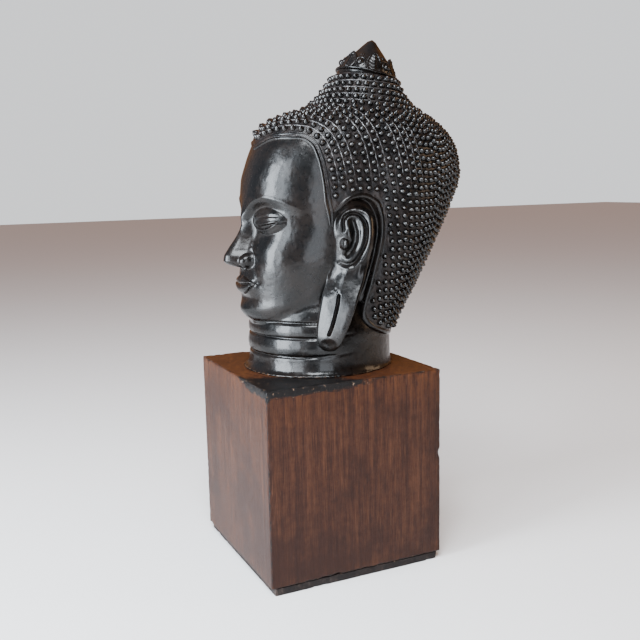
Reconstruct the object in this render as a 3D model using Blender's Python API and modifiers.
"""Bronze head of a Buddha resting on a wooden block stand.

All sizes below are in millimetres and are scaled to metres when a mesh is made. The origin is the
middle of the stand's underside, +Z is up, the face looks along -Y and its left ear is on +X.

The head is one casting. Its face and neck, its cap of hair and its ears are lofts between unlike
sections, whose points come from a few hand-set profiles and formulas, and Boolean unions join them
with the crown's petals and bud. The block and the pad under it are bevelled boxes.
"""
import math

import bmesh
import bpy
import numpy as np
from mathutils import Matrix

MM = 0.001

# Stand
PAD_HEIGHT = 5.0
PAD_INSET_X = 0.5
PAD_INSET_Y = 2.5
PAD_ROUND = 0.6
BLOCK_SIDE = 127.0
BLOCK_HEIGHT = 130.0
BLOCK_ROUND = 1.2
GAP = 0.3

# Main heights of the head
NECK_FOOT = PAD_HEIGHT + GAP + BLOCK_HEIGHT + GAP
CHIN = 166.5
FACE_HEIGHT = 119.0
NOSE_BASE = CHIN + FACE_HEIGHT / 3
BROW = CHIN + FACE_HEIGHT * 2 / 3
HAIRLINE = CHIN + FACE_HEIGHT
CROWN = 337.5

# Neck: an upright elliptical post with a flared foot and shallow rings in front
NECK_CENTRE = 3.6
NECK_HALF_WIDTH = 48.0
NECK_HALF_DEPTH = 49.5
NECK_FLARE = 4.6
NECK_RINGS = (148.0, 160.5, 170.5)
RING_DEPTH = 1.3

# Skull: each list gives (height, value). The depths are places along Y.
CENTRE_LINE = [(150, 4), (168, 6), (195, 16), (225, 25), (250, 30), (285, 33.5), (300, 35),
               (311, 38), (320, 41), (CROWN, 43.5)]
FRONT_PROFILE = [(150, -43), (168, -48), (182, -50), (200, -49.8), (225, -48.6), (240, -49),
                 (250, -49.6), (262, -48.4), (275, -44.8), (286, -40), (295, -35), (301, -28),
                 (305, -17), (311, 1), (320, 12), (CROWN, 24.5)]
BACK_PROFILE = [(150, 49), (168, 57.5), (195, 73.5), (225, 90), (250, 102.5), (266, 108.5),
                (280, 106.5), (291, 100.5), (300, 90.5), (306, 81), (311, 73), (320, 65.5), (CROWN, 60)]
FACE_HALF_WIDTH = [(150, 38), (168, 39.5), (180, 41.5), (195, 44), (210, 46.3), (225, 47.8),
                   (240, 48.6), (258, 49.2), (270, 49.2), (283, 48.4), (294, 46), (302, 41),
                   (308, 36), (315, 30.5), (326, 24.5), (CROWN, 19)]
HAIR_HALF_WIDTH = [(150, 46.5), (168, 47.5), (195, 50), (225, 53), (250, 54.6), (266, 54.8),
                   (280, 53), (291, 49.5), (300, 44), (306, 38.5), (315, 30.5), (326, 24.5),
                   (CROWN, 19)]
FRONT_SQUARENESS = 2.35
BACK_SQUARENESS = 2.1

# Lower edge of the jaw and of the nape, by turn from the front in degrees
JAW_LINE = [(0, CHIN), (12, CHIN + 0.6), (25, CHIN + 3.2), (40, 174.5), (55, 180), (70, 184),
            (90, 182), (115, 170), (145, 158), (180, 152)]
JAW_ROUND = 12.0

# Hairline by turn from the front in degrees: a low peak in the middle, down the temple, over the
# ear and down behind it to the nape
HAIR_LINE = [(0, HAIRLINE), (6, HAIRLINE + 2.5), (16, 291), (30, 290.5), (38, 286), (43, 276),
             (46.5, 262), (49, 246), (53, 238), (60, 246), (72, 251), (82, 244), (90, 226),
             (95, 204), (98, 184), (103, 170), (115, 163), (140, 156), (180, 152)]
HAIR_LIFT = 3.4
HAIR_CORE = (0.0, 34.0, 262.0)

# Ear outline by height: front and back edges along Y
EAR_TOP = 246.0
EAR_FOOT = 151.5
EAR_FRONT = [(EAR_FOOT, -15), (153, -19), (157, -21.6), (163, -22.6), (175, -21.4), (188, -18.4),
             (197, -13.6), (206, -11), (216, -10.2), (228, -11), (237, -9.6), (242, -5.5),
             (244.8, 0), (EAR_TOP, 5.5)]
EAR_BACK = [(EAR_FOOT, -15), (153, -11), (157, -7.4), (163, -3.6), (175, 1), (188, 8), (197, 12),
            (206, 15), (216, 18), (228, 20.6), (236, 19.6), (241, 16.4), (244.6, 11.5),
            (EAR_TOP, 5.5)]
EAR_PLANE = 49.6
EAR_FLARE = 0.14
EAR_THICKNESS = 6.0
SLIT_TOP = (-6.4, 188.0)
SLIT_FOOT = (-13.6, 165.0)
SLIT_WIDTH = 1.5

# Crown: a ring of upright petals round a pointed bud, tipped back a little
CROWN_CENTRE = (0.0, 43.8, CROWN - 1.0)
CROWN_TILT = 9.0
PETALS = 12
PETAL_RING = 17.5
PETAL_HEIGHT = 11.0
PETAL_SUNK = 6.0
PETAL_WIDTH = 13.0
PETAL_DEPTH = 7.0
PETAL_TIP = 3.0
BUD_PROFILE = [(0.0, 21.8), (1.5, 20.6), (4.2, 17.8), (7.4, 14.2), (10.4, 10.2), (12.6, 5.6),
               (13.4, 1.0), (12.0, -4.0), (0.0, -4.0)]

# Facets
FACE_TURNS = 20
SIDE_TURNS = 8
HAIR_TURNS = (0, 8, 16, 24, 31, 37, 41, 44.5, 48, 51, 55, 61, 69, 77, 84, 89, 93, 96.5, 101, 109,
              119, 131, 143, 156, 168, 180)
HAIR_ROWS = 12
EAR_TURNS = 18
EAR_ROWS = 21


def clear_scene():
    """Remove every object that the file opens with."""
    for item in list(bpy.data.objects):
        bpy.data.objects.remove(item)


def new_collection(name):
    """Make a collection in the scene and return it."""
    collection = bpy.data.collections.new(name)
    bpy.context.scene.collection.children.link(collection)
    return collection


def new_material(name, colour, roughness, metallic):
    """Make a Principled material of one colour."""
    material = bpy.data.materials.new(name)
    material.use_nodes = True
    shader = material.node_tree.nodes["Principled BSDF"]
    shader.inputs["Base Color"].default_value = (*colour, 1.0)
    shader.inputs["Roughness"].default_value = roughness
    shader.inputs["Metallic"].default_value = metallic
    return material


def new_object(name, mesh, collection):
    """Link a mesh as an object in a collection."""
    item = bpy.data.objects.new(name, mesh)
    collection.objects.link(item)
    return item


def curve_through(knots, at):
    """Smooth curve through (place, value) knots that never overshoots them.

    It is a cubic Hermite curve whose slope at each knot is the harmonic mean of its neighbours'.
    """
    places, values = np.array(knots, dtype=float).T
    steps = np.diff(values) / np.diff(places)
    before, after = steps[:-1], steps[1:]
    rising = before * after > 0
    mean = 2 * before * after / np.where(rising, before + after, 1)
    slopes = np.concatenate([steps[:1], np.where(rising, mean, 0), steps[-1:]])
    at = np.clip(at, places[0], places[-1])
    left = np.clip(np.searchsorted(places, at, side="right") - 1, 0, len(places) - 2)
    width = places[left + 1] - places[left]
    t = (at - places[left]) / width
    return ((2 * t**3 - 3 * t**2 + 1) * values[left] + (t**3 - 2 * t**2 + t) * width * slopes[left]
            + (3 * t**2 - 2 * t**3) * values[left + 1] + (t**3 - t**2) * width * slopes[left + 1])


def ramp(start, end, at):
    """Smooth step from 0 at start to 1 at end."""
    t = np.clip((at - start) / (end - start), 0, 1)
    return t * t * (3 - 2 * t)


def hill(distance, width):
    """Bell curve of height 1."""
    return np.exp(-(distance / width) ** 2)


def smooth_maximum(a, b, radius):
    """The larger of two values, rounded where they cross."""
    share = np.clip(0.5 + 0.5 * (a - b) / radius, 0, 1)
    return b * (1 - share) + a * share + radius * share * (1 - share)


def degrees_from_front(turn):
    """Turn from the front in degrees, the same on both sides."""
    return np.degrees(np.abs(turn))


def superellipse_reach(turn, half_width, front, back, squareness):
    """Distance from the centre line to a superellipse with unlike front and back halves."""
    forward = np.cos(turn)
    depth = np.where(forward > 0, front, back)
    terms = (np.abs(np.sin(turn)) / half_width) ** squareness
    terms = terms + (np.abs(forward) / depth) ** squareness
    return terms ** (-1 / squareness)


def skull_reach(turn, height):
    """Distance from the centre line to the skull."""
    centre = curve_through(CENTRE_LINE, height)
    front = centre - curve_through(FRONT_PROFILE, height)
    back = curve_through(BACK_PROFILE, height) - centre
    facing = ramp(-0.35, 0.3, np.cos(turn))
    half_width = (curve_through(HAIR_HALF_WIDTH, height) * (1 - facing)
                  + curve_through(FACE_HALF_WIDTH, height) * facing)
    squareness = BACK_SQUARENESS + (FRONT_SQUARENESS - BACK_SQUARENESS) * facing
    return superellipse_reach(turn, half_width, front, back, squareness)


def neck_reach(turn, height):
    """Distance from the centre line to the neck's flared and ringed ellipse, which shrinks upwards."""
    across = np.sin(turn) / NECK_HALF_WIDTH
    along = -np.cos(turn) / NECK_HALF_DEPTH
    shift = (curve_through(CENTRE_LINE, height) - NECK_CENTRE) / NECK_HALF_DEPTH
    square = across**2 + along**2
    half = shift * along
    post = (np.sqrt(half**2 - square * (shift**2 - 1)) - half) / square
    taper = 1 - 0.1 * ramp(160, 190, height) - 0.3 * ramp(188, 215, height)
    foot = NECK_FLARE * np.exp(-(height - NECK_FOOT) / 2.6)
    rings = sum(hill(height - ring, 1.6) for ring in NECK_RINGS)
    return post * taper + foot - RING_DEPTH * rings * ramp(0.1, 0.6, np.cos(turn))


def nose(side, height):
    """Relief of the nose: a ridge that widens to a rounded tip between two wings."""
    ridge_heights = [(NOSE_BASE - 3, 0), (NOSE_BASE - 1, 1.5), (NOSE_BASE + 1, 8),
                     (NOSE_BASE + 4, 15.6), (NOSE_BASE + 8, 16.2), (NOSE_BASE + 18, 11.4),
                     (NOSE_BASE + 30, 5.6), (BROW + 2, 1.4), (BROW + 9, 0)]
    ridge = curve_through(ridge_heights, height) * hill(side, 6.4 - 1.4 * hill(height - BROW + 12, 12))
    wings = 8 * np.sqrt(np.clip(1 - ((side - 7.6) / 4.2) ** 2 - ((height - NOSE_BASE - 5) / 5.6) ** 2, 0, 1))
    return smooth_maximum(ridge, wings, 1.6) - 0.4


def eye(side, height):
    """Relief of one eye: a hollow under an arched brow, filled by a half-closed lidded ball."""
    brow_arch = BROW + 6 - 8 * ((side - 21) / 18) ** 2
    hollow = -4.6 * hill(side - 13.5, 14) * ramp(0, 6, brow_arch - height) * ramp(218, 233, height)
    brow_edge = 0.7 * hill(height - brow_arch - 0.6, 1.6) * ramp(2, 7, side) * ramp(42, 32, side)
    ball = np.clip(1 - ((side - 19) / 13) ** 2 - ((height - 237.2) / 8.8) ** 2, 0, 1)
    opening = hill(height - 233.6 - 1.6 * ((side - 19) / 9.7) ** 2, 1.3) * ramp(11, 8, abs(side - 19))
    return hollow + brow_edge + 4.2 * ball**0.7 - 1.1 * opening


def mouth_and_chin(side, height):
    """Relief of the lips, the fold under them and the chin."""
    line = CHIN + 28.6 + 1.6 * (side / 14.6) ** 2
    ends = ramp(15.2, 11, side)
    muzzle = 3 * hill(side, 17) * hill(height - 197, 12.5)
    upper = 2.6 * hill(height - line - 2.8, 2.5) * ends
    lower = 3.2 * hill(height - line + 3.2, 2.7) * ends
    fold = -1.9 * hill(side, 9.5) * hill(height - CHIN - 19, 3)
    chin = 4.2 * hill(side, 12.5) * hill(height - CHIN - 10.5, 7.5)
    return muzzle + upper + lower + fold + chin


def head_points(turn, row):
    """Points of the face and neck for a grid of turns and row heights.

    Below the cheeks the rows bend to follow the jaw. The skull's round underside meets the neck in a
    smooth maximum of the two distances, and the face's relief stands on the front.
    """
    jaw = curve_through(JAW_LINE, degrees_from_front(turn))
    under = NECK_FOOT + (row - NECK_FOOT) * (jaw - NECK_FOOT) / (CHIN - NECK_FOOT)
    over = jaw + (row - CHIN) * (225 - jaw) / (225 - CHIN)
    height = np.where(row < CHIN, under, np.where(row < 225, over, row))
    neck = neck_reach(turn, height)
    full = skull_reach(turn, np.maximum(height, jaw))
    rise = np.clip((height - jaw) / JAW_ROUND, 0, 1)
    skull = (neck - 4) + (full - neck + 4) * np.sqrt(rise * (2 - rise))
    skull = np.where(height <= jaw, neck - 4 - (jaw - height), skull)
    reach = smooth_maximum(neck, skull, 2.4)
    side = np.abs(full * np.sin(turn))
    relief = nose(side, height) + eye(side, height) + mouth_and_chin(side, height)
    reach = reach + relief * ramp(-0.1, 0.35, np.cos(turn)) * ramp(0, 3.5, height - jaw)
    centre = curve_through(CENTRE_LINE, height)
    return np.stack([reach * np.sin(turn), centre - reach * np.cos(turn), height], axis=-1)


def hair_points(turn, share):
    """Points of the cap of hair, from the hairline (share 0) up to the crown (share 1)."""
    edge = curve_through(HAIR_LINE, degrees_from_front(turn))
    height = edge + (CROWN - edge) * share
    reach = skull_reach(turn, height) + HAIR_LIFT
    centre = curve_through(CENTRE_LINE, height)
    return np.stack([reach * np.sin(turn), centre - reach * np.cos(turn), height], axis=-1)


def slit_distance(along, height):
    """Distance from a point of the ear's face to the lobe's slit."""
    run_along, run_down = SLIT_FOOT[0] - SLIT_TOP[0], SLIT_FOOT[1] - SLIT_TOP[1]
    from_top = (along - SLIT_TOP[0]) * run_along + (height - SLIT_TOP[1]) * run_down
    share = np.clip(from_top / (run_along**2 + run_down**2), 0, 1)
    return np.hypot(along - SLIT_TOP[0] - share * run_along, height - SLIT_TOP[1] - share * run_down)


def ear_relief(along, height):
    """Relief of the ear's outer face: rim, inner ridge, hollow with its ball, slit and dimple."""
    ring = np.hypot((along - 4.8) / 9.8, (height - 222.5) / 16.4)
    rim = 1.6 * hill(ring - 1.34, 0.2) * ramp(203, 212, height)
    groove = -1.6 * hill(ring - 1.0, 0.15)
    hollow = -3.6 * hill(along - 4.6 - (height - 227) * 0.3, 3.2) * hill(height - 226, 9)
    ball = 3.2 * np.sqrt(np.clip(1 - (along + 1) ** 2 / 16 - (height - 223.7) ** 2 / 16, 0, 1))
    slit = -3.0 * hill(slit_distance(along, height), SLIT_WIDTH)
    dimple = -1.4 * hill(np.hypot(along + 14.4, height - 159.5), 4.6)
    return rim + groove + hollow + ball + slit + dimple


def ear_points(turn, height):
    """Points of the left ear: an oval section between its two edges, carried down its height."""
    front = curve_through(EAR_FRONT, height)
    back = curve_through(EAR_BACK, height)
    middle, half = (front + back) / 2, (back - front) / 2
    along = middle - half * np.cos(turn)
    round_edge = np.sqrt(np.abs(np.sin(turn)))
    plane = EAR_PLANE + EAR_FLARE * (along - front) * ramp(165, 215, height)
    plane = plane - 1.6 * ramp(185, 160, height)
    outer = plane + (1.0 + ear_relief(along, height)) * round_edge
    inner = plane - (EAR_THICKNESS + 2.0) * round_edge
    across = np.where(np.sin(turn) >= 0, outer, inner)
    return np.stack([across, along, np.full_like(along, height)], axis=-1)


def loft(name, rings, start, end, collection):
    """Closed loft of rings of points, whose first and last rings are closed to a point each."""
    mesh = bpy.data.meshes.new(name)
    shape = bmesh.new()
    rows = [[shape.verts.new(point * MM) for point in ring] for ring in rings]
    first = shape.verts.new(np.array(start) * MM)
    last = shape.verts.new(np.array(end) * MM)
    count = len(rows[0])
    for column in range(count):
        following = (column + 1) % count
        for lower, upper in zip(rows, rows[1:]):
            shape.faces.new((lower[column], lower[following], upper[following], upper[column]))
        shape.faces.new((first, rows[0][following], rows[0][column]))
        shape.faces.new((last, rows[-1][column], rows[-1][following]))
    bmesh.ops.recalc_face_normals(shape, faces=shape.faces)
    shape.to_mesh(mesh)
    shape.free()
    mesh.shade_smooth()
    return new_object(name, mesh, collection)


def both_sides(half):
    """Turns all the way round, in radians, from the degrees of one side."""
    half = np.array(half)
    return np.radians(np.concatenate([half, -half[-2:0:-1]]))


def head_turns():
    """Turns for the face's loft, closest together at the front."""
    front = np.linspace(0, 34, FACE_TURNS)
    side = 34 + (180 - 34) * np.linspace(0, 1, SIDE_TURNS + 1)[1:] ** 1.15
    return both_sides(np.concatenate([front, side]))


def head_rows():
    """Row heights for the face's loft, closest together from chin to brow."""
    neck = np.linspace(NECK_FOOT, CHIN, 15)
    face = np.linspace(CHIN, BROW + 6, 38)[1:]
    forehead = np.linspace(BROW + 6, 296, 9)[1:]
    return np.concatenate([neck, face, forehead])


def make_skin(collection):
    """Face, neck and skull as one closed loft with a flat foot."""
    turns, rows = head_turns(), head_rows()
    rings = [head_points(turns, np.full_like(turns, row)) for row in rows]
    start = (0.0, 0.0, NECK_FOOT)
    return loft("bronze_head", rings, start, (0.0, 34.0, rows[-1]), collection)


def make_hair(collection):
    """Cap of hair as a closed loft from the hairline to the crown, with its inside drawn to a point."""
    turns = both_sides(HAIR_TURNS)
    shares = np.linspace(0, 1, HAIR_ROWS) ** 0.9
    rings = [hair_points(turns, share) for share in shares]
    return loft("hair_cap", rings, HAIR_CORE, (0.0, 43.5, CROWN + 0.6), collection)


def make_ear(name, side, collection):
    """One ear as a closed loft, on +X for side 1 and on -X for side -1."""
    turns = np.radians(np.linspace(0, 360, EAR_TURNS, endpoint=False))
    heights = np.concatenate([[EAR_FOOT + 0.5], np.linspace(EAR_FOOT + 2, EAR_TOP - 2, EAR_ROWS),
                              [EAR_TOP - 0.5]])
    mirror = np.array([side, 1, 1])
    rings = [ear_points(turns, height) * mirror for height in heights]
    foot = ((EAR_PLANE - 4) * side, EAR_FRONT[0][1], EAR_FOOT)
    top = ((EAR_PLANE - 4) * side, EAR_FRONT[-1][1], EAR_TOP)
    return loft(name, rings, foot, top, collection)


def crown_matrix():
    """Place of the crown: on top of the head, tipped back."""
    place = Matrix.Translation([value * MM for value in CROWN_CENTRE])
    return place @ Matrix.Rotation(math.radians(-CROWN_TILT), 4, "X")


def make_bud(collection):
    """Pointed bud: a profile turned about the crown's axis with a Screw modifier."""
    mesh = bpy.data.meshes.new("crown_bud")
    points = [(radius * MM, 0, height * MM) for radius, height in BUD_PROFILE]
    edges = [(index, index + 1) for index in range(len(points) - 1)]
    mesh.from_pydata(points, edges, [])
    bud = new_object("crown_bud", mesh, collection)
    bud.matrix_world = crown_matrix()
    turned = bud.modifiers.new("turned", "SCREW")
    turned.steps = 16
    turned.render_steps = 16
    turned.use_merge_vertices = True
    turned.merge_threshold = 0.0001
    return bud


def make_petal(index, collection):
    """One pointed upright petal: a six-sided cone, flattened, with its lower part sunk in the head."""
    angle = 2 * math.pi * index / PETALS
    mesh = bpy.data.meshes.new(f"crown_petal_{index}")
    shape = bmesh.new()
    bmesh.ops.create_cone(shape, cap_ends=True, segments=6, radius1=PETAL_WIDTH / 2 * MM,
                          radius2=PETAL_TIP / 2 * MM, depth=(PETAL_HEIGHT + PETAL_SUNK) * MM)
    shape.to_mesh(mesh)
    shape.free()
    petal = new_object(f"crown_petal_{index}", mesh, collection)
    flatten = Matrix.Diagonal((1, PETAL_DEPTH / PETAL_WIDTH, 1, 1))
    outwards = Matrix.Translation((0, -PETAL_RING * MM, (PETAL_HEIGHT - PETAL_SUNK) / 2 * MM))
    petal.matrix_world = crown_matrix() @ Matrix.Rotation(angle, 4, "Z") @ outwards @ flatten
    return petal


def join_to(target, pieces):
    """Join pieces to a target with Boolean unions, and keep them only as hidden cutters."""
    for piece in pieces:
        union = target.modifiers.new(f"join {piece.name}", "BOOLEAN")
        union.operation = "UNION"
        union.solver = "EXACT"
        union.object = piece
        piece.hide_render = True
        piece.display_type = "WIRE"


def make_head(parts, cutters):
    """The whole bronze casting."""
    head = make_skin(parts)
    pieces = [make_hair(cutters), make_bud(cutters)]
    pieces += [make_petal(index, cutters) for index in range(PETALS)]
    pieces += [make_ear("ear_left", 1, cutters), make_ear("ear_right", -1, cutters)]
    join_to(head, pieces)
    head.data.materials.append(new_material("dark bronze", (0.035, 0.028, 0.025), 0.3, 1.0))
    return head


def make_box(name, size, foot, rounding, material, collection):
    """Bevelled box that stands on a given height."""
    mesh = bpy.data.meshes.new(name)
    shape = bmesh.new()
    bmesh.ops.create_cube(shape, size=1)
    bmesh.ops.scale(shape, vec=[value * MM for value in size], verts=shape.verts)
    shape.to_mesh(mesh)
    shape.free()
    box = new_object(name, mesh, collection)
    box.location.z = (foot + size[2] / 2) * MM
    edges = box.modifiers.new("worn arrises", "BEVEL")
    edges.width = rounding * MM
    edges.segments = 2
    box.data.materials.append(material)
    return box


def make_stand(parts):
    """Wooden block and the pad under it."""
    pad_size = (BLOCK_SIDE - 2 * PAD_INSET_X, BLOCK_SIDE - 2 * PAD_INSET_Y, PAD_HEIGHT)
    pad_finish = new_material("dark board", (0.012, 0.010, 0.009), 0.85, 0.0)
    make_box("base_pad", pad_size, 0.0, PAD_ROUND, pad_finish, parts)
    block_size = (BLOCK_SIDE, BLOCK_SIDE, BLOCK_HEIGHT)
    block_finish = new_material("stained wood", (0.060, 0.030, 0.018), 0.45, 0.0)
    make_box("wooden_block", block_size, PAD_HEIGHT + GAP, BLOCK_ROUND, block_finish, parts)


def main():
    """Build the head and its stand."""
    clear_scene()
    parts = new_collection("bronze_buddha_head")
    cutters = new_collection("cutters")
    make_stand(parts)
    make_head(parts, cutters)


main()
